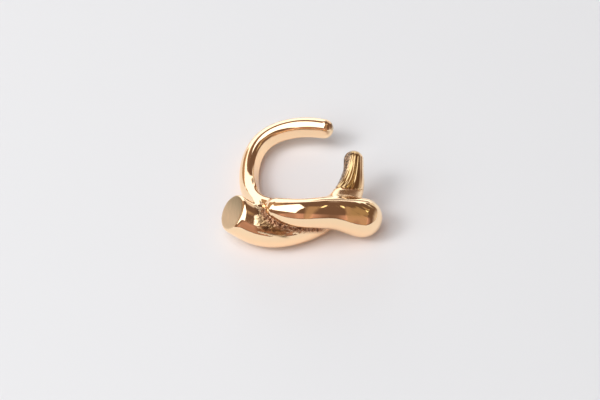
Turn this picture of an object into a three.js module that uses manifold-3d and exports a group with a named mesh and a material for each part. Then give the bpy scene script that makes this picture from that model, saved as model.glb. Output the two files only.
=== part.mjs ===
// Ear cuff: one polished casting, millimetres, +Z up.
//
// The cuff lies on its side. Its open ring is made of two tapering strands that cross at the front.
// The first runs from the ring's free tip round the back and over the front to a round knob.
// The second starts at a flat cut end, passes under the first and turns back as a short post.
// The ear's rim goes in through the gap between the ring's tip and the post's tip.

import * as THREE from 'three';
import { LoftGeometry } from 'three/addons/geometries/LoftGeometry.js';
import { mergeVertices } from 'three/addons/utils/BufferGeometryUtils.js';
import Module from 'manifold-3d';

const SIDES = 28; // corners of each section
const STEPS_PER_ROW = 4; // sections from one row of a table to the next
const CAP_STEPS = 6; // sections of a rounded end

// Each row is one section: its centre (x, y, z), its half thickness across the ring (out) and its
// half height (up), how much of its inner side a flat wall takes off (flat, 0 to 1) and how far
// its top leans outwards (lean, degrees).

// From the ring's free tip, round the back and down to a low ridge on the lower strand.
const HOOP = [
	{ x: 2.3, y: 11.06, z: 2.42, out: 0.95, up: 1.0, flat: 0.1, lean: 10 },
	{ x: 1.0, y: 11.52, z: 2.2, out: 1.01, up: 1.03, flat: 0.1, lean: 11 },
	{ x: -0.7, y: 11.68, z: 1.97, out: 1.04, up: 1.04, flat: 0.11, lean: 12 },
	{ x: -2.6, y: 11.26, z: 1.7, out: 1.03, up: 1.03, flat: 0.13, lean: 15 },
	{ x: -4.15, y: 10.2, z: 1.38, out: 1.0, up: 1.0, flat: 0.15, lean: 19 },
	{ x: -5.0, y: 8.4, z: 1.1, out: 1.0, up: 1.0, flat: 0.17, lean: 24 },
	{ x: -5.3, y: 6.45, z: 1.0, out: 1.0, up: 1.0, flat: 0.18, lean: 26 },
	{ x: -5.25, y: 4.5, z: 1.1, out: 1.0, up: 1.0, flat: 0.17, lean: 26 },
	{ x: -4.95, y: 2.75, z: 1.55, out: 0.97, up: 0.95, flat: 0.12, lean: 20 },
	{ x: -4.55, y: 1.2, z: 2.3, out: 0.82, up: 0.85, flat: 0.05, lean: 8 },
	{ x: -4.25, y: 0.1, z: 3.05, out: 0.6, up: 0.62, flat: 0, lean: 0 },
	{ x: -4.1, y: -0.7, z: 3.35, out: 0.45, up: 0.45, flat: 0, lean: 0 },
];

// From the hoop's root to the back of the upper strand.
const BRIDGE = [
	{ x: -5.0, y: 2.7, z: 1.85, out: 0.7, up: 0.7, flat: 0, lean: 0 },
	{ x: -4.45, y: 1.3, z: 2.45, out: 0.66, up: 0.66, flat: 0, lean: 0 },
	{ x: -3.6, y: 0.05, z: 3.15, out: 0.64, up: 0.64, flat: 0, lean: 0 },
	{ x: -2.5, y: -0.8, z: 3.7, out: 0.75, up: 0.75, flat: 0, lean: 0 },
	{ x: -1.3, y: -1.4, z: 3.95, out: 0.9, up: 0.9, flat: 0, lean: 0 },
];

// Over the front, from its rounded left end to the knob at the right.
const UPPER_STRAND = [
	{ x: -2.4, y: -1.35, z: 3.75, out: 1.16, up: 1.16, flat: 0, lean: 0 },
	{ x: -1.5, y: -1.8, z: 3.9, out: 1.3, up: 1.3, flat: 0, lean: 0 },
	{ x: -0.4, y: -1.97, z: 3.93, out: 1.4, up: 1.4, flat: 0, lean: 0 },
	{ x: 0.8, y: -1.82, z: 3.77, out: 1.45, up: 1.45, flat: 0, lean: 0 },
	{ x: 2.0, y: -1.45, z: 3.42, out: 1.54, up: 1.54, flat: 0, lean: 0 },
	{ x: 3.2, y: -1.1, z: 2.97, out: 1.55, up: 1.55, flat: 0, lean: 0 },
	{ x: 4.3, y: -0.88, z: 2.53, out: 1.74, up: 1.74, flat: 0, lean: 0 },
	{ x: 5.3, y: -0.78, z: 2.15, out: 1.92, up: 1.92, flat: 0, lean: 0 },
	{ x: 6.0, y: -0.75, z: 1.95, out: 1.94, up: 1.94, flat: 0, lean: 0 },
];

// The wide root of the post, from the upper strand's back.
const POST_ROOT = [
	{ x: 2.1, y: -1.1, z: 3.6, out: 0.7, up: 0.7, flat: 0, lean: 0 },
	{ x: 3.2, y: 0.1, z: 3.25, out: 0.85, up: 0.85, flat: 0, lean: 0 },
	{ x: 4.15, y: 1.45, z: 3.0, out: 0.98, up: 0.98, flat: 0, lean: 0 },
	{ x: 4.85, y: 2.9, z: 3.1, out: 1.0, up: 1.0, flat: 0, lean: 0 },
];

// From past the flat cut end, under the upper strand, to the rounded tip of the post.
const LOWER_STRAND = [
	{ x: -8.3, y: -0.6, z: 3.75, out: 1.85, up: 1.85, flat: 0, lean: 0 },
	{ x: -7.0, y: -0.8, z: 3.0, out: 1.88, up: 1.88, flat: 0, lean: 0 },
	{ x: -5.7, y: -1.3, z: 2.35, out: 1.93, up: 1.93, flat: 0, lean: 0 },
	{ x: -4.3, y: -1.9, z: 1.93, out: 1.93, up: 1.93, flat: 0, lean: 0 },
	{ x: -2.8, y: -2.25, z: 1.78, out: 1.78, up: 1.78, flat: 0, lean: 0 },
	{ x: -1.2, y: -2.1, z: 1.62, out: 1.62, up: 1.62, flat: 0, lean: 0 },
	{ x: 0.4, y: -1.5, z: 1.48, out: 1.48, up: 1.48, flat: 0, lean: 0 },
	{ x: 2.0, y: -0.65, z: 1.5, out: 1.35, up: 1.35, flat: 0, lean: 0 },
	{ x: 3.5, y: 0.35, z: 1.75, out: 1.25, up: 1.25, flat: 0, lean: 0 },
	{ x: 4.85, y: 1.45, z: 2.3, out: 1.18, up: 1.18, flat: 0, lean: 0 },
	{ x: 5.1, y: 2.75, z: 3.0, out: 1.1, up: 1.1, flat: 0, lean: 0 },
	{ x: 5.15, y: 4.05, z: 3.6, out: 1.01, up: 1.01, flat: 0, lean: 0 },
	{ x: 5.17, y: 5.07, z: 4.0, out: 1.0, up: 1.0, flat: 0, lean: 0 },
];

// The cut face: a point on it, and the direction that it faces.
const CUT_POINT = new THREE.Vector3(-6.88, -0.76, 2.93);
const CUT_NORMAL = new THREE.Vector3(-0.79, -0.1, 0.61).normalize();
const CUTTER_SIZE = 8;

const MERGE_DISTANCE = 1e-5;
const SMALL = 1e-6;
const SEAM_TOLERANCE = 0.01; // slivers thinner than this are cleaned out of the seams
const UP = new THREE.Vector3(0, 0, 1);
const COLUMNS = ['x', 'y', 'z', 'out', 'up', 'flat', 'lean'];

// One section between rows, on the uniform cubic B-spline whose first and last rows are its ends.
function sectionAt(rows, position) {
	const last = rows.length - 1;
	const span = Math.min(Math.floor(position), last - 1);
	const t = position - span;
	const weights = [
		(1 - t) ** 3 / 6,
		(3 * t ** 3 - 6 * t ** 2 + 4) / 6,
		(-3 * t ** 3 + 3 * t ** 2 + 3 * t + 1) / 6,
		t ** 3 / 6,
	];
	const section = {};
	for (const column of COLUMNS) {
		const before = 2 * rows[0][column] - rows[1][column];
		const after = 2 * rows[last][column] - rows[last - 1][column];
		const values = [before, ...rows.map((row) => row[column]), after];
		section[column] = weights.reduce((sum, weight, i) => sum + weight * values[span + i], 0);
	}
	return section;
}

function centreOf(section) {
	return new THREE.Vector3(section.x, section.y, section.z);
}

// The section's outline, as a ring of points scaled about its centre and moved along the strand.
function outline(rows, position, scale, shift) {
	const section = sectionAt(rows, position);
	const last = rows.length - 1;
	const ahead = centreOf(sectionAt(rows, Math.min(position + 0.01, last)));
	const behind = centreOf(sectionAt(rows, Math.max(position - 0.01, 0)));
	const along = ahead.sub(behind).normalize();
	const lean = THREE.MathUtils.degToRad(section.lean);
	const axis = UP.clone().addScaledVector(along, -UP.dot(along)).normalize();
	axis.applyAxisAngle(along, lean);
	const outward = along.clone().cross(axis);
	const centre = centreOf(section).addScaledVector(along, shift);
	return Array.from({ length: SIDES }, (_, i) => {
		const angle = (-2 * Math.PI * i) / SIDES;
		const across = Math.cos(angle);
		const upright = Math.sin(angle);
		const wall = (1 - section.flat) / Math.max(-across, SMALL);
		const reach = scale * Math.min(1, wall);
		return centre.clone()
			.addScaledVector(outward, reach * across * section.out)
			.addScaledVector(axis, reach * upright * section.up);
	});
}

// Sections of a half-round end, from the strand's full section to its tip.
function roundedEnd(rows, position, direction) {
	const { out } = sectionAt(rows, position);
	return Array.from({ length: CAP_STEPS }, (_, i) => {
		const angle = ((i + 1) / (CAP_STEPS + 0.5)) * (Math.PI / 2);
		return outline(rows, position, Math.cos(angle), direction * out * Math.sin(angle));
	});
}

function strand(rows, roundStart) {
	const last = rows.length - 1;
	const count = last * STEPS_PER_ROW;
	const sections = Array.from({ length: count + 1 }, (_, i) => outline(rows, i / STEPS_PER_ROW, 1, 0));
	if (roundStart) {
		sections.unshift(...roundedEnd(rows, 0, -1).reverse());
	}
	sections.push(...roundedEnd(rows, last, 1));
	return new LoftGeometry(sections, { capStart: true, capEnd: true });
}

// A block that stands on the cut face and takes away what lies beyond it.
function cutter() {
	const block = new THREE.BoxGeometry(CUTTER_SIZE, CUTTER_SIZE, CUTTER_SIZE);
	const turn = new THREE.Quaternion().setFromUnitVectors(UP, CUT_NORMAL);
	const centre = CUT_POINT.clone().addScaledVector(CUT_NORMAL, CUTTER_SIZE / 2);
	return block.applyQuaternion(turn).translate(centre.x, centre.y, centre.z);
}

const wasm = await Module();
wasm.setup();

// A solid has one vertex wherever its faces meet, so normals and texture coordinates are left out.
function toSolid(shape) {
	const bare = new THREE.BufferGeometry();
	bare.setAttribute('position', shape.getAttribute('position'));
	bare.setIndex(shape.getIndex());
	const merged = mergeVertices(bare, MERGE_DISTANCE);
	return new wasm.Manifold(new wasm.Mesh({
		numProp: 3,
		vertProperties: new Float32Array(merged.getAttribute('position').array),
		triVerts: new Uint32Array(merged.getIndex().array),
	}));
}

function toGeometry(solid) {
	const { vertProperties, triVerts } = solid.getMesh();
	const geometry = new THREE.BufferGeometry();
	geometry.setAttribute('position', new THREE.BufferAttribute(vertProperties, 3));
	geometry.setIndex(new THREE.BufferAttribute(triVerts, 1));
	return geometry;
}

const GOLD = new THREE.MeshStandardMaterial({ color: 0xe9b878, roughness: 0.12, metalness: 1 });

const lower = toSolid(strand(LOWER_STRAND, false)).subtract(toSolid(cutter()));
const others = [HOOP, BRIDGE, UPPER_STRAND, POST_ROOT].map((rows) => toSolid(strand(rows, true)));
const whole = others.reduce((joined, solid) => joined.add(solid), lower);
const body = new THREE.Mesh(toGeometry(whole.simplify(SEAM_TOLERANCE)), GOLD);
body.name = 'cuff_body';

// The origin is on the surface that the cuff lies on, under the middle of its box.
body.geometry.computeBoundingBox();
const { min, max } = body.geometry.boundingBox;
body.geometry.translate(-(min.x + max.x) / 2, -(min.y + max.y) / 2, -min.z);

const cuff = new THREE.Group();
cuff.add(body);

export default cuff;
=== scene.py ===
"""Ear cuff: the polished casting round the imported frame, and a plain studio to see it in.

The casting is five round strands melted into each other. Their tables give a section per row, in
millimetres. A Geometry Nodes tree fills the space round them with their distance, draws the surface
where that distance is nought, and settles each point of it on the exact form.
"""

import math

import bpy
from mathutils import Matrix, Vector


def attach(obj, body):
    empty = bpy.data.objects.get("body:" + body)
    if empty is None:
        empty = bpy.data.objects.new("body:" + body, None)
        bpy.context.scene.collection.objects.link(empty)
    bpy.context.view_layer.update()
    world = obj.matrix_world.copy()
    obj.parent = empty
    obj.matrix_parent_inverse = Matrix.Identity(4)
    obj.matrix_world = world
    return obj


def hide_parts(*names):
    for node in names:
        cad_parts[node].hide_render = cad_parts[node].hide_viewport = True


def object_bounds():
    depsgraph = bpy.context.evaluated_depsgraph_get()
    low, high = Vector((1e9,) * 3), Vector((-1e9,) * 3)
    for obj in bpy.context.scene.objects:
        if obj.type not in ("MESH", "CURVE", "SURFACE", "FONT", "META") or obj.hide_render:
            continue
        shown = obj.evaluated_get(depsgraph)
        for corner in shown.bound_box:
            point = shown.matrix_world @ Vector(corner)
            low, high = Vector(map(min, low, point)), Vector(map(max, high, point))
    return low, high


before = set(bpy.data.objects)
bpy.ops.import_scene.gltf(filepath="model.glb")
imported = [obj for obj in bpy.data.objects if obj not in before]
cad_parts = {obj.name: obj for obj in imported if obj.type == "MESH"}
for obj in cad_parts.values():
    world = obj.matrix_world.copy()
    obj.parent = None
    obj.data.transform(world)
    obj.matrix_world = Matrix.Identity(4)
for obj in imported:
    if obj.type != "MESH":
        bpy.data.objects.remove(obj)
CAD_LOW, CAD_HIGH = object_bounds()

bl_info = {
    "name": "Ear cuff",
    "version": (1, 0, 0),
    "blender": (4, 5, 0),
    "location": "3D View > Sidebar > Ear Cuff",
    "description": "Builds a polished cast ear cuff and its studio",
    "category": "Object",
}

MM = 0.001
NODE = "cuff_body"
BODY = "root"

# ---------------------------------------------------------------------------------------------
# The strands. x, y, z is a section's centre, out its half thickness across the ring, up its half
# height, flat how much of its inner half a flat wall takes off (0 none, 1 all) and lean how far its
# top leans outwards (degrees).

COLUMNS = ("x", "y", "z", "out", "up", "flat", "lean")

# From the ring's free tip, round the back and down to a low ridge on the lower strand.
HOOP = (
    (2.3, 11.06, 2.42, 0.95, 1.0, 0.1, 10),
    (1.0, 11.52, 2.2, 1.01, 1.03, 0.1, 11),
    (-0.7, 11.68, 1.97, 1.04, 1.04, 0.11, 12),
    (-2.6, 11.26, 1.7, 1.03, 1.03, 0.13, 15),
    (-4.15, 10.2, 1.38, 1.0, 1.0, 0.15, 19),
    (-5.0, 8.4, 1.1, 1.0, 1.0, 0.17, 24),
    (-5.3, 6.45, 1.0, 1.0, 1.0, 0.18, 26),
    (-5.25, 4.5, 1.1, 1.0, 1.0, 0.17, 26),
    (-4.95, 2.75, 1.55, 0.97, 0.95, 0.12, 20),
    (-4.55, 1.2, 2.3, 0.82, 0.85, 0.05, 8),
    (-4.25, 0.1, 3.05, 0.6, 0.62, 0, 0),
    (-4.1, -0.7, 3.35, 0.45, 0.45, 0, 0),
)

# From the hoop's root to the back of the upper strand.
BRIDGE = (
    (-5.0, 2.7, 1.85, 0.7, 0.7, 0, 0),
    (-4.45, 1.3, 2.45, 0.66, 0.66, 0, 0),
    (-3.6, 0.05, 3.15, 0.64, 0.64, 0, 0),
    (-2.5, -0.8, 3.7, 0.75, 0.75, 0, 0),
    (-1.3, -1.4, 3.95, 0.9, 0.9, 0, 0),
)

# Over the front, from its rounded left end to the knob at the right.
UPPER_STRAND = (
    (-2.4, -1.35, 3.75, 1.16, 1.16, 0, 0),
    (-1.5, -1.8, 3.9, 1.3, 1.3, 0, 0),
    (-0.4, -1.97, 3.93, 1.4, 1.4, 0, 0),
    (0.8, -1.82, 3.77, 1.45, 1.45, 0, 0),
    (2.0, -1.45, 3.42, 1.54, 1.54, 0, 0),
    (3.2, -1.1, 2.97, 1.55, 1.55, 0, 0),
    (4.3, -0.88, 2.53, 1.74, 1.74, 0, 0),
    (5.3, -0.78, 2.15, 1.92, 1.92, 0, 0),
    (6.0, -0.75, 1.95, 1.94, 1.94, 0, 0),
)

# The wide root of the post, from the upper strand's back.
POST_ROOT = (
    (2.1, -1.1, 3.6, 0.7, 0.7, 0, 0),
    (3.2, 0.1, 3.25, 0.85, 0.85, 0, 0),
    (4.15, 1.45, 3.0, 0.98, 0.98, 0, 0),
    (4.85, 2.9, 3.1, 1.0, 1.0, 0, 0),
)

# From past the flat cut end, under the upper strand, to the rounded tip of the post.
LOWER_STRAND = (
    (-8.3, -0.6, 3.75, 1.85, 1.85, 0, 0),
    (-7.0, -0.8, 3.0, 1.88, 1.88, 0, 0),
    (-5.7, -1.3, 2.35, 1.93, 1.93, 0, 0),
    (-4.3, -1.9, 1.93, 1.93, 1.93, 0, 0),
    (-2.8, -2.25, 1.78, 1.78, 1.78, 0, 0),
    (-1.2, -2.1, 1.62, 1.62, 1.62, 0, 0),
    (0.4, -1.5, 1.48, 1.48, 1.48, 0, 0),
    (2.0, -0.65, 1.5, 1.35, 1.35, 0, 0),
    (3.5, 0.35, 1.75, 1.25, 1.25, 0, 0),
    (4.85, 1.45, 2.3, 1.18, 1.18, 0, 0),
    (5.1, 2.75, 3.0, 1.1, 1.1, 0, 0),
    (5.15, 4.05, 3.6, 1.01, 1.01, 0, 0),
    (5.17, 5.07, 4.0, 1.0, 1.0, 0, 0),
)

STRANDS = (HOOP, BRIDGE, UPPER_STRAND, POST_ROOT, LOWER_STRAND)
GUIDES_PER_ROW = 60  # guide points from one row to the next
CUT_POINT = (-6.88, -0.76, 2.93)
CUT_NORMAL = (-0.79, -0.1, 0.61)
TABLE_ORIGIN = (-0.052, 4.343, 0.006)  # the tables' point that lies at the frame's origin

# The groove round the post's root lies in a slanted plane.
SLANT = (0.731, 0.682)  # y and z of a direction that rises 43 degrees from the floor to the back
GROOVE_HEIGHT = 3.70  # the plane's place along that direction, where x is GROOVE_MIDDLE
GROOVE_MIDDLE = 3.3
GROOVE_SLOPE = 0.077
GROOVE_WIDTH = 0.12  # from its middle to its edge
GROOVE_DEPTH = 0.05


# ---------------------------------------------------------------------------------------------
# Node trees written as Python expressions


class Wire:
    """A node's output. Arithmetic on it adds Math nodes, or Vector Math nodes for a vector."""

    def __init__(self, net, socket):
        self.net = net
        self.socket = socket

    @property
    def is_vector(self):
        return self.socket.type == "VECTOR"

    def _combine(self, operation, first, second):
        vectors = any(isinstance(v, Wire) and v.is_vector for v in (first, second))
        kind = "ShaderNodeVectorMath" if vectors else "ShaderNodeMath"
        if vectors:
            first, second = (
                (v, v, v) if isinstance(v, (int, float)) else v for v in (first, second)
            )
        return self.net.add(kind, {"operation": operation}, {0: first, 1: second})

    def __add__(self, other):
        return self._combine("ADD", self, other)

    def __radd__(self, other):
        return self._combine("ADD", other, self)

    def __sub__(self, other):
        return self._combine("SUBTRACT", self, other)

    def __rsub__(self, other):
        return self._combine("SUBTRACT", other, self)

    def __mul__(self, other):
        return self._combine("MULTIPLY", self, other)

    def __rmul__(self, other):
        return self._combine("MULTIPLY", other, self)

    def __truediv__(self, other):
        return self._combine("DIVIDE", self, other)

    def __rtruediv__(self, other):
        return self._combine("DIVIDE", other, self)

    def __neg__(self):
        return self * -1.0


class Net:
    """One node tree, filled node by node."""

    def __init__(self, tree):
        self.tree = tree

    def add(self, kind, settings=None, inputs=None, output=0):
        """Adds a node, sets its settings, then its inputs by name or number. Returns one output."""
        node = self.tree.nodes.new(kind)
        for name, value in (settings or {}).items():
            setattr(node, name, value)
        for key, value in (inputs or {}).items():
            self.join(self._input(node, key), value)
        shown = [s for s in node.outputs if s.enabled]
        if not shown:
            return None
        return Wire(self, node.outputs[output] if isinstance(output, str) else shown[output])

    def join(self, socket, value):
        if isinstance(value, Wire):
            self.tree.links.new(value.socket, socket)
        elif value is not None:
            socket.default_value = value

    @staticmethod
    def _input(node, key):
        if isinstance(key, int):
            return node.inputs[key]
        return next(s for s in node.inputs if s.enabled and key in (s.name, s.identifier))

    def math(self, operation, *values):
        return self.add("ShaderNodeMath", {"operation": operation}, dict(enumerate(values)))

    def vector_math(self, operation, *values, output=0):
        settings = {"operation": operation}
        return self.add("ShaderNodeVectorMath", settings, dict(enumerate(values)), output)

    def dot(self, a, b):
        return self.vector_math("DOT_PRODUCT", a, b, output="Value")

    def mix(self, factor, a, b, kind="FLOAT"):
        return self.add(
            "ShaderNodeMix", {"data_type": kind}, {"Factor": factor, "A": a, "B": b}
        )

    def parts(self, vector):
        """The x, y and z of a vector."""
        split = self.add("ShaderNodeSeparateXYZ", None, {0: vector})
        return [Wire(self, output) for output in split.socket.node.outputs]

    def smooth_step(self, value, low, high):
        """0 at low, 1 at high, with a soft start and end. High may be the lower of the two."""
        down = low > high
        step = self.add(
            "ShaderNodeMapRange",
            {"interpolation_type": "SMOOTHSTEP"},
            {"Value": value, "From Min": min(low, high), "From Max": max(low, high)},
        )
        return 1 - step if down else step

    def within(self, value, rise, fall):
        """1 between two soft edges and 0 outside them. rise is (0 at, 1 at), fall is (1 at, 0 at)."""
        return self.smooth_step(value, *rise) * self.smooth_step(value, *reversed(fall))


def empty_net(owner):
    """The node tree of a material or world, emptied."""
    owner.use_nodes = True
    owner.node_tree.nodes.clear()
    return Net(owner.node_tree)


def new_group(name, inputs, outputs):
    """An empty geometry group with these sockets, {name: (kind, default)}, and its inputs as wires."""
    tree = bpy.data.node_groups.new(name, "GeometryNodeTree")
    for label, (kind, default) in inputs.items():
        socket = tree.interface.new_socket(label, in_out="INPUT", socket_type="NodeSocket" + kind)
        if default is not None:
            socket.default_value = default
    for label, kind in outputs.items():
        tree.interface.new_socket(label, in_out="OUTPUT", socket_type="NodeSocket" + kind)
    net = Net(tree)
    given = tree.nodes.new("NodeGroupInput")
    return net, {label: Wire(net, given.outputs[label]) for label in inputs}


def close_group(net, results):
    """Links {name: wire} to the group's outputs."""
    end = net.tree.nodes.new("NodeGroupOutput")
    for label, wire in results.items():
        net.join(end.inputs[label], wire)
    return net.tree


def call(net, tree, inputs, output=0):
    """Adds a group node for tree."""
    return net.add("GeometryNodeGroup", {"node_tree": tree}, inputs, output)


# ---------------------------------------------------------------------------------------------
# Guides: each strand as a close row of points that carry its section


def spline_row(rows, position):
    """The section at a place between rows, on the uniform cubic B-spline that ends at the end rows."""
    last = len(rows) - 1
    span = min(int(position), last - 1)
    t = position - span
    weights = (
        (1 - t) ** 3 / 6,
        (3 * t**3 - 6 * t**2 + 4) / 6,
        (-3 * t**3 + 3 * t**2 + 3 * t + 1) / 6,
        t**3 / 6,
    )
    before = [2 * a - b for a, b in zip(rows[0], rows[1])]
    after = [2 * a - b for a, b in zip(rows[last], rows[last - 1])]
    near = [before, *rows, after][span : span + 4]
    values = [sum(w * v for w, v in zip(weights, column)) for column in zip(*near)]
    return dict(zip(COLUMNS, values))


def guide_mesh():
    """One mesh of loose points for all strands, with their sections as attributes."""
    points, strand, along, outward, axis, half, flat = [], [], [], [], [], [], []
    step = 1 / GUIDES_PER_ROW
    for number, rows in enumerate(STRANDS):
        last = len(rows) - 1
        for i in range(last * GUIDES_PER_ROW + 1):
            place = i * step
            section = spline_row(rows, place)
            ahead = spline_row(rows, min(place + step, last))
            behind = spline_row(rows, max(place - step, 0))
            tangent = Vector([ahead[c] - behind[c] for c in "xyz"]).normalized()
            upright = Vector((0, 0, 1))
            upright = (upright - tangent * upright.dot(tangent)).normalized()
            upright.rotate(Matrix.Rotation(math.radians(section["lean"]), 3, tangent))
            points.append([section[c] for c in "xyz"])
            strand.append(number)
            along.append(tangent)
            outward.append(tangent.cross(upright))
            axis.append(upright)
            half.append((section["out"], section["up"], 0))
            flat.append(section["flat"])
    mesh = bpy.data.meshes.new("strand_guides")
    mesh.from_pydata(points, [], [])
    columns = {"along": along, "outward": outward, "axis": axis, "half": half}
    for name, values in columns.items():
        layer = mesh.attributes.new(name, "FLOAT_VECTOR", "POINT")
        layer.data.foreach_set("vector", [c for v in values for c in v])
    mesh.attributes.new("flat", "FLOAT", "POINT").data.foreach_set("value", flat)
    mesh.attributes.new("strand", "INT", "POINT").data.foreach_set("value", strand)
    return mesh


# ---------------------------------------------------------------------------------------------
# The form as a distance, in millimetres

CORNER = 0.1  # how softly the inner wall turns into the round side, in half thicknesses


def strand_distance_group():
    """How far a position is outside one strand: its section is an ellipse with a flat inner wall."""
    net, given = new_group(
        "strand distance",
        {
            "Guides": ("Geometry", None),
            "Strand": ("Int", 0),
            "Position": ("Vector", (0, 0, 0)),
        },
        {"Distance": "Float"},
    )
    number = net.add("GeometryNodeInputNamedAttribute", {"data_type": "INT"}, {"Name": "strand"})
    chosen = net.add(
        "FunctionNodeCompare",
        {"data_type": "INT", "operation": "EQUAL"},
        {"A": number, "B": given["Strand"]},
    )
    guide = net.add(
        "GeometryNodeSeparateGeometry",
        {"domain": "POINT"},
        {"Geometry": given["Guides"], "Selection": chosen},
    )
    position = given["Position"]
    nearest = net.add(
        "GeometryNodeSampleNearest",
        {"domain": "POINT"},
        {"Geometry": guide, "Sample Position": position},
    )

    def at(index, value, kind="FLOAT_VECTOR"):
        return net.add(
            "GeometryNodeSampleIndex",
            {"data_type": kind, "domain": "POINT", "clamp": True},
            {"Geometry": guide, "Value": value, "Index": index},
        )

    def named(name, kind="FLOAT_VECTOR"):
        return net.add("GeometryNodeInputNamedAttribute", {"data_type": kind}, {"Name": name})

    own = net.add("GeometryNodeInputPosition")
    here = at(nearest, own)
    overshoot = net.dot(position - here, at(nearest, named("along")))
    neighbour = net.add(
        "FunctionNodeFloatToInt", {"rounding_mode": "ROUND"}, {0: nearest + net.math("SIGN", overshoot)}
    )
    there = at(neighbour, own)
    gap = net.vector_math("DISTANCE", here, there, output="Value")
    share = net.math("MINIMUM", net.math("ABSOLUTE", overshoot) / gap, 1.0)

    def between(name):
        value = named(name)
        return net.mix(share, at(nearest, value), at(neighbour, value), "VECTOR")

    flat_value = named("flat", "FLOAT")
    flat = net.mix(share, at(nearest, flat_value, "FLOAT"), at(neighbour, flat_value, "FLOAT"))
    offset = position - net.mix(share, here, there, "VECTOR")
    half_out, half_up, _ = net.parts(between("half"))
    across = net.dot(offset, between("outward")) / half_out
    upright = net.dot(offset, between("axis")) / half_up
    beyond = net.dot(offset, between("along")) / half_out
    round_side = net.math("SQRT", across * across + upright * upright)
    wall = across / (flat - 1.0)
    ring = net.math("SMOOTH_MAX", round_side, wall, CORNER)
    reach = net.math("SQRT", ring * ring + beyond * beyond)
    distance = (reach - 1.0) * (half_out + half_up) * 0.5
    return close_group(net, {"Distance": distance})


def slant_height(y, z):
    """How far a place lies along the slanted direction."""
    return y * SLANT[0] + z * SLANT[1]


def above_groove(x, y, z):
    """How far a place lies above the middle of the groove at the post's root."""
    return slant_height(y, z) - GROOVE_HEIGHT + (x - GROOVE_MIDDLE) * GROOVE_SLOPE


def crevice_zone(net, x, upper, lower, hoop, bridge):
    """Where the grainy skin lies, and the painted shade that darkens it: on the lower strand, close
    under the upper one.
    """
    on_lower = net.smooth_step(lower, 0.16, 0.05)
    near_upper = net.smooth_step(upper, 0.75, 0.25)
    zone = on_lower * near_upper * net.smooth_step(x, 3.2, 1.6)
    zone = zone * net.smooth_step(bridge, 0.05, 0.3)
    return zone * net.smooth_step(hoop, 0.1, 0.4)


def fibre_zone(net, x, y, z, lower, hoop):
    """Where the fibrous skin lies, with painted shade in its tones: on the lower strand's top, between
    the ridge and the crossing.
    """
    zone = net.smooth_step(lower, 0.12, 0.04) * net.smooth_step(x, -4.7, -3.9)
    zone = zone * net.smooth_step(x, -1.0, -1.9)
    zone = zone * net.smooth_step(slant_height(y, z) + (x + 3) * 0.23, -0.98, -0.72)
    zone = zone * net.smooth_step(hoop, 0.1, 0.4)
    return zone * net.smooth_step(y, 0.4, -0.3)


def post_zone(net, x, y, z, upright):
    """Where the post's own finish and its painted shade lie: above the groove."""
    zone = net.smooth_step(above_groove(x, y, z), -0.02, 0.05) * net.smooth_step(x, 2.9, 3.2)
    return zone * upright * net.smooth_step(y, 0.2, 0.5)


def groove_zone(net, x, y, z, upright):
    """The groove's profile, 1 along its middle."""
    off_middle = net.math("ABSOLUTE", above_groove(x, y, z))
    zone = net.smooth_step(off_middle, GROOVE_WIDTH, 0.02) * upright
    return zone * net.smooth_step(x, 3.0, 3.4) * net.smooth_step(y, 0.2, 0.5)


def cuff_distance_group(strand_distance):
    """How far a position is outside the whole casting, and where its finishes and its painted shade
    lie.
    """
    net, given = new_group(
        "cuff distance",
        {
            "Guides": ("Geometry", None),
            "Position": ("Vector", (0, 0, 0)),
            "Root Fillet": ("Float", 0.9),
            "Hoop Fillet": ("Float", 0.5),
            "Seam Fillet": ("Float", 0.12),
            "Rim Radius": ("Float", 0.4),
        },
        {name: "Float" for name in ("Distance", "Seam", "Rough", "Cut", "Post")},
    )

    def strand(rows):
        return call(
            net,
            strand_distance,
            {
                "Guides": given["Guides"],
                "Strand": STRANDS.index(rows),
                "Position": given["Position"],
            },
        )

    def melt(a, b, fillet):
        return net.math("SMOOTH_MIN", a, b, fillet)

    hoop = strand(HOOP)
    bridge = strand(BRIDGE)
    upper = strand(UPPER_STRAND)
    root = strand(POST_ROOT)
    lower = strand(LOWER_STRAND)
    normal = Vector(CUT_NORMAL).normalized()
    cut = net.dot(given["Position"] - tuple(CUT_POINT), tuple(normal))
    lower = net.math("SMOOTH_MAX", lower, cut, given["Rim Radius"])
    upper_side = melt(melt(upper, bridge, given["Hoop Fillet"]), root, given["Root Fillet"])
    lower_side = melt(melt(lower, hoop, given["Hoop Fillet"]), root, given["Root Fillet"])
    whole = melt(upper_side, lower_side, given["Seam Fillet"])
    x, y, z = net.parts(given["Position"])
    upright = net.smooth_step(z, 2.5, 3.0)
    results = {
        "Distance": whole + groove_zone(net, x, y, z, upright) * GROOVE_DEPTH,
        "Seam": crevice_zone(net, x, upper, lower, hoop, bridge),
        "Rough": fibre_zone(net, x, y, z, lower, hoop),
        "Cut": cut,
        "Post": post_zone(net, x, y, z, upright),
    }
    return close_group(net, results)


# ---------------------------------------------------------------------------------------------
# The surface

MARGIN = 0.5  # empty space round the form, in millimetres
SETTLE_PASSES = 3
STORED = {"cast_skin_and_shade": "Seam", "fibre_and_shade": "Rough", "cut": "Cut", "post": "Post"}  # attribute: output


def speckle(net, place, scale, detail, **more):
    """Smooth noise from 0 to 1, scale features to a unit of place."""
    inputs = {"Vector": place, "Scale": scale, "Detail": detail, **more}
    return net.add("ShaderNodeTexNoise", None, inputs)


def noise(net, place, scale, detail):
    """Smooth noise from about -1 to 1, scale features to a unit of place."""
    return (speckle(net, place, scale, detail) - 0.5) * 2


def lines(net, lane, scale):
    """Noise from 0 to 1 that changes only with lane, so that it draws lines."""
    inputs = {"W": lane, "Scale": scale, "Detail": 1.0, "Roughness": 0.5}
    return net.add("ShaderNodeTexNoise", {"noise_dimensions": "1D"}, inputs)


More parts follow.
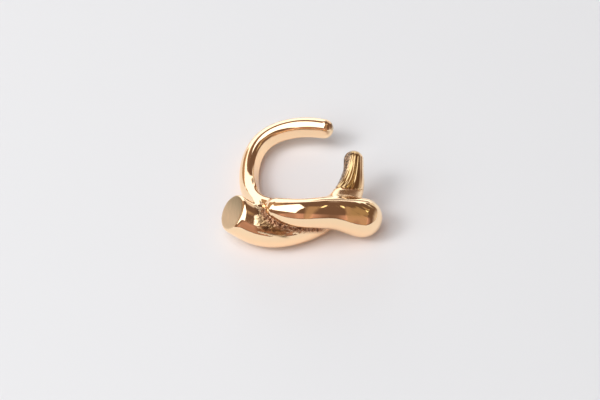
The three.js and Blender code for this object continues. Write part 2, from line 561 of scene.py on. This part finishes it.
def surface_tree(low, high):
    """Guides in, the casting's smooth mesh in metres out. low and high bound the form."""
    net, given = new_group(
        "cuff surface",
        {
            "Guides": ("Geometry", None),
            "Grid Step": ("Float", 0.1),
            "Root Fillet": ("Float", 0.9),
            "Hoop Fillet": ("Float", 0.5),
            "Seam Fillet": ("Float", 0.12),
            "Rim Radius": ("Float", 0.4),
            "Grain Scale": ("Float", 4.2),
            "Grain Depth": ("Float", 0.26),
            "Wave Scale": ("Float", 0.5),
            "Wave Depth": ("Float", 0.01),
            "Material": ("Material", None),
        },
        {"Surface": "Geometry"},
    )
    cuff_distance = cuff_distance_group(strand_distance_group())
    fillets = {k: given[k] for k in ("Root Fillet", "Hoop Fillet", "Seam Fillet", "Rim Radius")}

    def form(output):
        place = net.add("GeometryNodeInputPosition")
        return call(
            net, cuff_distance, {"Guides": given["Guides"], "Position": place, **fillets}, output
        )

    start = [c - MARGIN for c in low]
    end = [c + MARGIN for c in high]
    counts = [(b - a) / given["Grid Step"] for a, b in zip(start, end)]
    volume = net.add(
        "GeometryNodeVolumeCube",
        None,
        {
            "Density": -form("Distance"),
            "Background": -MARGIN,
            "Min": start,
            "Max": end,
            **{"Resolution " + axis: count for axis, count in zip("XYZ", counts)},
        },
    )
    surface = net.add("GeometryNodeVolumeToMesh", None, {"Volume": volume, "Threshold": 0.0})
    for _ in range(SETTLE_PASSES):
        relaxed = net.add(
            "GeometryNodeBlurAttribute",
            {"data_type": "FLOAT_VECTOR"},
            {"Value": net.add("GeometryNodeInputPosition"), "Iterations": 1},
        )
        surface = net.add(
            "GeometryNodeSetPosition", None, {"Geometry": surface, "Position": relaxed}
        )
        facing = net.add("GeometryNodeInputNormal")
        surface = net.add(
            "GeometryNodeSetPosition",
            None,
            {"Geometry": surface, "Offset": facing * -form("Distance")},
        )
    for name, output in STORED.items():
        surface = net.add(
            "GeometryNodeStoreNamedAttribute",
            {"data_type": "FLOAT", "domain": "POINT"},
            {"Geometry": surface, "Name": name, "Value": form(output)},
        )
    skin_and_shade = net.add("GeometryNodeInputNamedAttribute", {"data_type": "FLOAT"}, {"Name": "cast_skin_and_shade"})
    place = net.add("GeometryNodeInputPosition")
    cast = noise(net, place, given["Grain Scale"], 3.0) * skin_and_shade * given["Grain Depth"]
    hand = noise(net, place, given["Wave Scale"], 0.0) * given["Wave Depth"]
    facing = net.add("GeometryNodeInputNormal")
    surface = net.add(
        "GeometryNodeSetPosition", None, {"Geometry": surface, "Offset": facing * (cast + hand)}
    )
    surface = net.add("GeometryNodeTransform", None, {
        "Geometry": surface,
        "Translation": [-c * MM for c in TABLE_ORIGIN],
        "Scale": (MM, MM, MM),
    })
    surface = net.add("GeometryNodeSetShadeSmooth", None, {"Geometry": surface})
    surface = net.add("GeometryNodeRealizeInstances", None, {"Geometry": surface})
    surface = net.add(
        "GeometryNodeSetMaterial", None, {"Geometry": surface, "Material": given["Material"]}
    )
    return close_group(net, {"Surface": surface})


def set_inputs(modifier, values):
    """Sets a Geometry Nodes modifier's inputs by name, through their identifiers."""
    for item in modifier.node_group.interface.items_tree:
        if item.item_type == "SOCKET" and item.in_out == "INPUT" and item.name in values:
            modifier[item.identifier] = values[item.name]


def made_plain(obj, name):
    """obj's evaluated mesh as a plain object of its own, with the modifier and obj gone."""
    graph = bpy.context.evaluated_depsgraph_get()
    mesh = bpy.data.meshes.new_from_object(obj.evaluated_get(graph))
    mesh.name = name
    guides = obj.data
    bpy.data.objects.remove(obj)
    bpy.data.meshes.remove(guides)
    plain = bpy.data.objects.new(name, mesh)
    bpy.context.scene.collection.objects.link(plain)
    return plain


# ---------------------------------------------------------------------------------------------
# Materials


# Depth of each pattern in the bump, in millimetres.
BRUSH_DEPTH = 0.012
PEEL_DEPTH = 0.004
FIBRE_DEPTH = 0.07
SKIN_DEPTH = 0.12
FLANK_DEPTH = 0.09
DRAWN_DEPTH = 0.16
DRAG_DEPTH = 0.08

# Roughness of the satin cut face, then of the other finishes, each laid over those before it.
SATIN_ROUGHNESS = 0.36
FINISH_ROUGHNESS = {"fibre_and_shade": 0.16, "skin_and_shade": 0.3, "root": 0.27, "post": 0.11, "flank": 0.24}

# Colours of the finishes and of the painted shade that a user wouldn't change.
SATIN_LIGHT = (0.82, 0.62, 0.40, 1)
# The cut face's inner side, darker as painted shade.
SATIN_PAINTED_SHADE = (0.30, 0.24, 0.14, 1)
# Tones of the fibrous skin, darker than the gold as painted shade in the groove.
FIBRE_SHADE_DARK = (0.20, 0.12, 0.06, 1)
FIBRE_SHADE_LIGHT = (0.58, 0.38, 0.20, 1)
# Dark of the crevice's grain: painted shade under the upper strand.
PIT_SHADE = (0.20, 0.10, 0.06, 1)
# A duller gold for the knob's upper half: painted shade.
KNOB_SHADE_GOLD = (0.86, 0.66, 0.37, 1)
# Painted shade: a darker gold for the post.
POST_SHADE_GOLD = (0.58, 0.40, 0.20, 1)
# Tones of the post's left flank: painted shade, with the grain lighter and darker.
FLANK_SHADE_DARK = (0.16, 0.12, 0.09, 1)
FLANK_SHADE_LIGHT = (0.62, 0.48, 0.36, 1)


def stored(net, name):
    """A value that the surface tree stored on the casting."""
    return net.add("ShaderNodeAttribute", {"attribute_name": name}, None, "Fac")


def post_lane(net, x, y):
    """Which line drawn along the post a place lies on. The lines spread towards the post's root."""
    bend = net.math("MAXIMUM", 0.0, 5.0 - y) / 3.4
    return 6.0 - (6.0 - x) * (1 - net.math("MINIMUM", bend * 0.6, 0.8))


def finish_zones(net, x, y, z, lane):
    """Where each finish and each patch of painted shade lies on the casting, from 0 to 1, by name."""
    post = stored(net, "post")
    level = slant_height(y, z)
    # The knob's upper half, which is painted a duller gold as shade.
    knob = net.within(x, (4.2, 5.2), (6.6, 7.6)) * net.within(level, (0.6, 1.2), (1.9, 2.4))
    root = net.within(above_groove(x, y, z), (-1.0, -0.6), (-0.05, 0.0))
    root = root * net.smooth_step(x, 2.6, 3.4) * net.smooth_step(y, -0.2, 0.3)
    root = root * net.smooth_step(z, 2.5, 3.0)
    return {
        "face": net.smooth_step(stored(net, "cut"), -0.065, -0.008),
        # Painted shade across the cut face: 1 on its inner side, 0 at its outer edge.
        "face_shaded_side": net.smooth_step(x + y * 0.5, -7.9, -6.1),
        "skin_and_shade": stored(net, "cast_skin_and_shade"),
        "fibre_and_shade": stored(net, "fibre_and_shade"),
        "post": post,
        # Painted shade: the post darker but for its right edge.
        "post_shade": post * net.smooth_step(x, 6.0, 5.6),
        # The post's left flank: grainy, and painted darker as shade.
        "flank": net.smooth_step(lane, 5.1, 4.7) * post,
        "root": root,
        "knob": knob,
    }


def finish_patterns(net, place, lane):
    """The fine patterns of the finishes, each from 0 to 1, by name."""
    x, y, z = net.parts(place)
    normal = Vector(CUT_NORMAL).normalized()
    stroke = normal.cross(Vector((1, 0, 0))).normalized()
    across = normal.cross(stroke)
    strokes = net.add(
        "ShaderNodeCombineXYZ",
        None,
        {0: net.dot(place, tuple(across)) * 9, 1: net.dot(place, tuple(stroke)) * 0.7},
    )
    stretched = net.vector_math("MULTIPLY", place, (0.45, 1.0, 1.0))
    return {
        "brushed": speckle(net, strokes, 1.0, 3.0),
        "peel": speckle(net, place, 1.6, 1.0),
        "grain": speckle(net, place, 6.0, 3.0),
        "smear": speckle(net, place, 0.8, 3.0),
        "fibres": speckle(net, stretched, 3.6, 3.0, Distortion=0.6),
        "drawn": lines(net, lane, 3.2),
        "drag": lines(net, x * 0.53 + y * 0.62 + z * 0.58, 2.4),
    }


def relief(zones, patterns):
    """How far the fine relief stands proud, in millimetres."""
    height = patterns["brushed"] * zones["face"] * BRUSH_DEPTH + patterns["peel"] * PEEL_DEPTH
    height = height + patterns["fibres"] * zones["fibre_and_shade"] * FIBRE_DEPTH
    height = height + patterns["grain"] * (zones["skin_and_shade"] * SKIN_DEPTH + zones["flank"] * FLANK_DEPTH)
    height = height + patterns["drawn"] * zones["post"] * DRAWN_DEPTH
    return height + patterns["drag"] * zones["knob"] * DRAG_DEPTH


def metal_roughness(net, zones, patterns, polish):
    """The roughness all over, with faint smears in the polish."""
    rough = polish + (patterns["smear"] - 0.5) * 0.05
    rough = net.mix(zones["face"], rough, SATIN_ROUGHNESS + patterns["brushed"] * 0.12)
    for name, amount in FINISH_ROUGHNESS.items():
        rough = net.mix(zones[name], rough, amount)
    return rough


def metal_colour(net, zones, patterns, finish):
    """The colour all over: polished gold, with each finish and each patch of painted shade laid over
    those before it.
    """
    gold = (*finish.gold_colour, 1)
    # Painted shade on the cut face: darker towards its inner side, and lighter, nearer the polished
    # gold, towards its outer edge.
    inner = zones["face_shaded_side"]
    satin = net.mix(patterns["brushed"], (*finish.brushed_colour, 1), SATIN_LIGHT, "RGBA")
    satin = net.mix(inner * 0.55, satin, SATIN_PAINTED_SHADE, "RGBA")
    satin = net.mix((1 - inner) * 0.45, satin, gold, "RGBA")
    pits = net.smooth_step(patterns["grain"], 0.36, 0.66)
    ribs = net.smooth_step(patterns["fibres"], 0.34, 0.68)
    layers = {
        "face": satin,
        # Painted shade: the fibrous skin in the groove is painted in dark tones, with its fibres
        # lighter and darker.
        "fibre_and_shade": net.mix(ribs, FIBRE_SHADE_DARK, FIBRE_SHADE_LIGHT, "RGBA"),
        # Painted shade: the crevice under the upper strand is painted darker than the gold, with its
        # grain in lighter and darker tones.
        "skin_and_shade": net.mix(pits, PIT_SHADE, (*finish.skin_shade_colour, 1), "RGBA"),
        # Painted shade: the knob's upper half in a duller gold.
        "knob": KNOB_SHADE_GOLD,
        # Painted shade: the post in a darker gold but for its right edge.
        "post_shade": POST_SHADE_GOLD,
        # Painted shade: the post's left flank darker, its grain in lighter and darker tones.
        "flank": net.mix(pits, FLANK_SHADE_DARK, FLANK_SHADE_LIGHT, "RGBA"),
    }
    colour = gold
    for name, layer in layers.items():
        colour = net.mix(zones[name], colour, layer, "RGBA")
    return colour


def gold_material(finish):
    """Polished gold, brushed where the casting was cut and dull where the casting skin was left, with
    painted shade on the cut face, in the crevice, on the lower strand's top, on the post and on the
    knob.
    """
    material = bpy.data.materials.new("polished_gold")
    net = empty_net(material)
    place = net.add("ShaderNodeTexCoord", None, None, "Object") * (1 / MM) + TABLE_ORIGIN
    x, y, z = net.parts(place)
    lane = post_lane(net, x, y)
    zones = finish_zones(net, x, y, z, lane)
    patterns = finish_patterns(net, place, lane)
    bump = net.add(
        "ShaderNodeBump",
        None,
        {"Strength": 1.0, "Distance": MM, "Height": relief(zones, patterns)},
    )
    shader = net.add(
        "ShaderNodeBsdfPrincipled",
        None,
        {
            "Base Color": metal_colour(net, zones, patterns, finish),
            "Metallic": 1.0,
            "Roughness": metal_roughness(net, zones, patterns, finish.roughness),
            "Normal": bump,
        },
    )
    net.add("ShaderNodeOutputMaterial", None, {"Surface": shader})
    return material


FLOOR_LIT = (0.87, 0.86, 0.86, 1)  # the floor's colour to every ray but the camera's


def floor_material(colour):
    """Pale matt paper. The metal mirrors it a little brighter than it is seen."""
    material = bpy.data.materials.new("studio_floor")
    net = empty_net(material)
    seen = net.add("ShaderNodeLightPath", None, None, "Is Camera Ray")
    shade = net.mix(seen, FLOOR_LIT, (*colour, 1), "RGBA")
    shader = net.add("ShaderNodeBsdfDiffuse", None, {"Color": shade})
    net.add("ShaderNodeOutputMaterial", None, {"Surface": shader})
    return material


# ---------------------------------------------------------------------------------------------
# Settings


class CuffShape(bpy.types.PropertyGroup):
    """Sizes of the casting, in millimetres."""

    grid_step: bpy.props.FloatProperty(
        name="Grid step", description="Spacing of the grid, in millimetres", default=0.08, min=0.04,
    )
    root_fillet: bpy.props.FloatProperty(
        name="Root fillet", description="Blend at the post's root, in millimetres", default=1.0
    )
    hoop_fillet: bpy.props.FloatProperty(
        name="Hoop fillet", description="Blend at the hoop's root, in millimetres", default=0.5
    )
    seam_fillet: bpy.props.FloatProperty(
        name="Seam fillet", description="Blend where the strands cross, in millimetres", default=0.14
    )
    rim_radius: bpy.props.FloatProperty(
        name="Rim radius", description="Blend round the cut end's rim, in millimetres", default=0.58
    )


class CuffFinish(bpy.types.PropertyGroup):
    """Colour and polish of the metal, and the painted shade of its crevice."""

    gold_colour: bpy.props.FloatVectorProperty(
        name="Gold", description="Colour of the metal", subtype="COLOR", size=3,
        default=(0.97, 0.72, 0.465), min=0, max=1,
    )
    brushed_colour: bpy.props.FloatVectorProperty(
        name="Brushed gold", description="Colour of the cut end", subtype="COLOR", size=3,
        default=(0.40, 0.31, 0.19), min=0, max=1,
    )
    # The crevice's grain colour, darker than the gold as painted shade.
    skin_shade_colour: bpy.props.FloatVectorProperty(
        name="Casting skin", description="Colour of the unpolished crevice", subtype="COLOR", size=3,
        default=(0.62, 0.36, 0.22), min=0, max=1,
    )
    roughness: bpy.props.FloatProperty(
        name="Roughness", description="Roughness of the polish", subtype="FACTOR",
        default=0.07, min=0, max=1,
    )


class CuffStudio(bpy.types.PropertyGroup):
    """The stage, the lights and the camera."""

    floor_colour: bpy.props.FloatVectorProperty(
        name="Floor", description="Colour of the floor", subtype="COLOR", size=3,
        default=(0.76, 0.757, 0.77), min=0, max=1,
    )
    softbox_radiance: bpy.props.FloatProperty(
        name="Softbox", description="Brightness of the softbox as the metal mirrors it", default=2.3
    )
    core_radiance: bpy.props.FloatProperty(
        name="Core", description="Light of the softbox's hot core", default=9.0
    )
    softbox_light: bpy.props.FloatProperty(
        name="Softbox light", description="Light that the softbox throws on the floor", default=2.25
    )
    window_radiance: bpy.props.FloatProperty(
        name="Window", description="Brightness of the window at the back", default=1.7
    )
    camera_elevation: bpy.props.FloatProperty(
        name="Elevation", description="Camera's angle above the floor", subtype="ANGLE",
        default=math.radians(47),
    )
    frame_width: bpy.props.FloatProperty(
        name="Frame width", description="Width that the camera sees", unit="LENGTH", default=0.060
    )


# ---------------------------------------------------------------------------------------------
# Operators


class CUFF_OT_body(bpy.types.Operator):
    """Build the casting: strands, fillets, cut end and polish"""

    bl_idname = "cuff.body"
    bl_label = "Casting"

    def execute(self, context):
        shape = context.scene.cuff_shape
        obj = bpy.data.objects.new("guides", guide_mesh())
        context.scene.collection.objects.link(obj)
        origin = Vector(TABLE_ORIGIN)
        low = [c / MM + o for c, o in zip(CAD_LOW, origin)]
        high = [c / MM + o for c, o in zip(CAD_HIGH, origin)]
        modifier = obj.modifiers.new("surface", "NODES")
        modifier.node_group = surface_tree(low, high)
        set_inputs(modifier, {
            "Grid Step": shape.grid_step,
            "Root Fillet": shape.root_fillet,
            "Hoop Fillet": shape.hoop_fillet,
            "Seam Fillet": shape.seam_fillet,
            "Rim Radius": shape.rim_radius,
            "Material": gold_material(context.scene.cuff_finish),
        })
        casting = made_plain(obj, "cuff_casting")
        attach(casting, BODY)
        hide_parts(NODE)
        return {"FINISHED"}


def aim(obj, target):
    direction = Vector(target) - obj.location
    obj.rotation_euler = direction.to_track_quat("-Z", "Y").to_euler()


def towards(azimuth, elevation, distance):
    """A point round the origin: azimuth 0 is the camera's side, 90 the right, in degrees."""
    a, e = math.radians(azimuth), math.radians(elevation)
    return Vector((math.sin(a) * math.cos(e), -math.cos(a) * math.cos(e), math.sin(e))) * distance


def overhead(right, back, distance):
    """A point so many degrees to the right of and behind the spot straight overhead."""
    angle = math.radians(math.hypot(right, back))
    turn = math.atan2(right, back)
    flat = math.sin(angle)
    return Vector((flat * math.sin(turn), flat * math.cos(turn), math.cos(angle))) * distance


def softbox(context, name, place, size, distance, radiance):
    """A rectangular light that faces the object and that the metal doesn't mirror. place is in
    degrees right of and behind straight overhead, size and distance are in metres."""
    data = bpy.data.lights.new(name, "AREA")
    data.shape = "RECTANGLE"
    data.size, data.size_y = size
    data.energy = radiance * math.pi * size[0] * size[1]
    obj = bpy.data.objects.new(name, data)
    obj.location = overhead(*place, distance)
    aim(obj, (0, 0, 0))
    obj.visible_camera = False
    obj.visible_glossy = False
    context.scene.collection.objects.link(obj)


# The mirrored room. Places in it are degrees right of and behind the spot straight overhead.
DEGREES = 180 / math.pi
DIM, DIM_LEFT = 0.13, 0.04  # the room's own light, and what the left side adds
WARM_TINT = (1.4, 0.84, 0.6)
PINK_TINT = (1.5, 0.84, 0.68)
TAN_TINT = (1.25, 0.88, 0.5)
PALE_TINT = (1.0, 0.97, 0.92)
LAMP_COLOUR = (2.1, 1.8, 1.1, 1)
LAMP_PLACE = (33, 12)
LAMP_SIZE = (1.5, 10)
BOUNCE_COLOUR = (1.4, 0.68, 0.3, 1)  # stands in for the warm light that gold throws on a floor
FILL_COLOUR = (0.31, 0.31, 0.31, 1)  # what lights matt surfaces
BACKDROP_COLOUR = (0.82, 0.82, 0.83, 1)  # what the camera sees past the floor


def mirrored_place(net):
    """Where a direction meets the room: its right and back, angle from overhead and azimuth."""
    way = net.add("ShaderNodeTexCoord", None, None, "Generated")
    x = net.dot(way, (1, 0, 0))
    y = net.dot(way, (0, 1, 0))
    z = net.dot(way, (0, 0, 1))
    level = net.math("SQRT", x * x + y * y)
    angle = net.math("ARCTAN2", level, z) * DEGREES
    right = angle * x / net.math("MAXIMUM", level, 0.001)
    back = angle * y / net.math("MAXIMUM", level, 0.001)
    azimuth = net.math("ARCTAN2", x, y) * DEGREES
    return right, back, angle, azimuth


def walls(net, right, back, angle):
    """The dim warm walls, pink low at the front, tan at the left and pale at the right."""
    left = net.smooth_step(right * -1, -8, 8)
    front = net.smooth_step(back, -40, -54)
    pink = front * net.smooth_step(angle, 89, 84) * net.smooth_step(right, 62, 30)
    pink = pink * (1 - net.within(right, (10, 16), (26, 32)) * 0.8)
    pink = pink * (1 - net.within(right, (-58, -36), (-20, 0)) * front * 0.45)
    side = net.smooth_step(right * -1, 15, 35) * net.smooth_step(back, -10, 20)
    low = net.within(right, (11, 19), (26, 36)) * net.smooth_step(back, 18, 6)
    far_right = net.smooth_step(right, 62, 90)
    behind = net.smooth_step(right, 24, 32) * net.smooth_step(back, 45, 58)
    tones = (
        (DIM + left * DIM_LEFT, WARM_TINT),
        (pink * 0.3, PINK_TINT),
        (side * 0.2 + low * 0.22, TAN_TINT),
        (net.math("MAXIMUM", behind * 0.7, far_right * 0.6), PALE_TINT),
    )
    shade = [sum(light * tint[i] for light, tint in tones) for i in range(3)]
    return net.add("ShaderNodeCombineColor", None, dict(enumerate(shade)))


def lamp_shape(net, right, back):
    """A small tall lamp with a soft edge."""
    across = (right - LAMP_PLACE[0]) / LAMP_SIZE[0]
    along = (back - LAMP_PLACE[1]) / LAMP_SIZE[1]
    return net.smooth_step(net.math("SQRT", across * across + along * along), 1.3, 0.6)


def window_shape(net, right, back, azimuth):
    """A window low at the back, with a gap in its right half."""
    window = net.within(azimuth, (-38, -35), (20, 26))
    window = window * net.smooth_step(back - right * 0.3, 53, 57)
    gap = net.smooth_step(right, 6, 12) * net.within(back, (64, 68), (76, 82))
    return window * (1 - gap * 0.85)


def softbox_shape(net, right, back):
    """A big softbox overhead at the left, with a pointed right end and slanted long sides."""
    point = net.math("MAXIMUM", (back - 3) * 0.3, (3 - back) * 0.45)
    box = net.smooth_step(11.5 - right - point, -1, 2) * net.smooth_step(right, -80, -76)
    box = box * net.smooth_step(35 + right * 0.45 - back, 0, 3)
    front = back + net.math("MINIMUM", 0.0, right + 10) * 0.45
    return box * net.smooth_step(front, -44, -40)


def room_colour(net, softbox_radiance, window_radiance):
    """What the metal mirrors: dim walls, a lamp, a window at the back and a softbox overhead."""
    right, back, angle, azimuth = mirrored_place(net)
    window_white = (window_radiance,) * 3 + (1,)
    softbox_white = (softbox_radiance,) * 3 + (1,)
    shade = walls(net, right, back, angle)
    shade = net.mix(lamp_shape(net, right, back), shade, LAMP_COLOUR, "RGBA")
    shade = net.mix(window_shape(net, right, back, azimuth), shade, window_white, "RGBA")
    return net.mix(softbox_shape(net, right, back), shade, softbox_white, "RGBA")


FLOOR_HALF = 0.25  # metres from the middle of the floor to its edge
SENSOR_WIDTH = 36
LENS = 150
CAMERA_TARGET = Vector((-0.0001, -0.0009, 0.0))


class CUFF_OT_studio(bpy.types.Operator):
    """Set up the floor, the lights and the camera"""

    bl_idname = "cuff.studio"
    bl_label = "Studio"

    def execute(self, context):
        studio = context.scene.cuff_studio
        self.floor(context, studio)
        self.lights(context, studio)
        self.surroundings(context, studio)
        self.camera(context, studio)
        context.scene.view_settings.view_transform = "Standard"
        return {"FINISHED"}

    def floor(self, context, studio):
        mesh = bpy.data.meshes.new("floor")
        corners = [(x * FLOOR_HALF, y * FLOOR_HALF, 0) for x, y in ((-1, -1), (1, -1), (1, 1), (-1, 1))]
        mesh.from_pydata(corners, [], [(0, 1, 2, 3)])
        mesh.materials.append(floor_material(studio.floor_colour))
        obj = bpy.data.objects.new("floor", mesh)
        context.scene.collection.objects.link(obj)

    def lights(self, context, studio):
        softbox(context, "softbox", (-33, -20), (0.68, 1.0), 0.70, studio.softbox_light)
        softbox(context, "window", (-19, 73), (0.20, 0.17), 0.30, studio.window_radiance)
        softbox(context, "core", (-42, -14), (0.22, 0.22), 0.70, studio.core_radiance)

    def surroundings(self, context, studio):
        world = bpy.data.worlds.new("studio")
        net = empty_net(world)
        colour = room_colour(net, studio.softbox_radiance, studio.window_radiance)
        mirrored = net.add("ShaderNodeLightPath", None, None, "Is Glossy Ray")
        seen = net.add("ShaderNodeLightPath", None, None, "Is Camera Ray")
        bounced = net.add("ShaderNodeLightPath", None, None, "Diffuse Depth")
        colour = net.mix(net.math("MINIMUM", bounced, 1.0), colour, BOUNCE_COLOUR, "RGBA")
        colour = net.mix(mirrored, FILL_COLOUR, colour, "RGBA")
        colour = net.mix(seen, colour, BACKDROP_COLOUR, "RGBA")
        shade = net.add("ShaderNodeBackground", None, {"Color": colour, "Strength": 1.0})
        net.add("ShaderNodeOutputWorld", None, {"Surface": shade})
        context.scene.world = world

    def camera(self, context, studio):
        data = bpy.data.cameras.new("camera")
        data.sensor_width = SENSOR_WIDTH
        data.lens = LENS
        obj = bpy.data.objects.new("camera", data)
        distance = studio.frame_width * LENS / SENSOR_WIDTH
        elevation = math.degrees(studio.camera_elevation)
        obj.location = CAMERA_TARGET + towards(0, elevation, distance)
        aim(obj, CAMERA_TARGET)
        context.scene.collection.objects.link(obj)
        context.scene.camera = obj


class CUFF_PT_panel(bpy.types.Panel):
    """Lists the steps that build the cuff and its studio"""

    bl_idname = "CUFF_PT_panel"
    bl_label = "Ear Cuff"
    bl_space_type = "VIEW_3D"
    bl_region_type = "UI"
    bl_category = "Ear Cuff"

    def draw(self, context):
        for operator in OPERATORS:
            self.layout.operator(operator.bl_idname)


SETTINGS = {"cuff_shape": CuffShape, "cuff_finish": CuffFinish, "cuff_studio": CuffStudio}
OPERATORS = (CUFF_OT_body, CUFF_OT_studio)


def register():
    for cls in (*SETTINGS.values(), *OPERATORS, CUFF_PT_panel):
        bpy.utils.register_class(cls)
    for name, cls in SETTINGS.items():
        setattr(bpy.types.Scene, name, bpy.props.PointerProperty(type=cls))


def unregister():
    for name in SETTINGS:
        delattr(bpy.types.Scene, name)
    for cls in (CUFF_PT_panel, *reversed(OPERATORS), *reversed(SETTINGS.values())):
        bpy.utils.unregister_class(cls)


def main():
    register()
    bpy.ops.cuff.body()
    bpy.ops.cuff.studio()


if __name__ == "__main__":
    main()
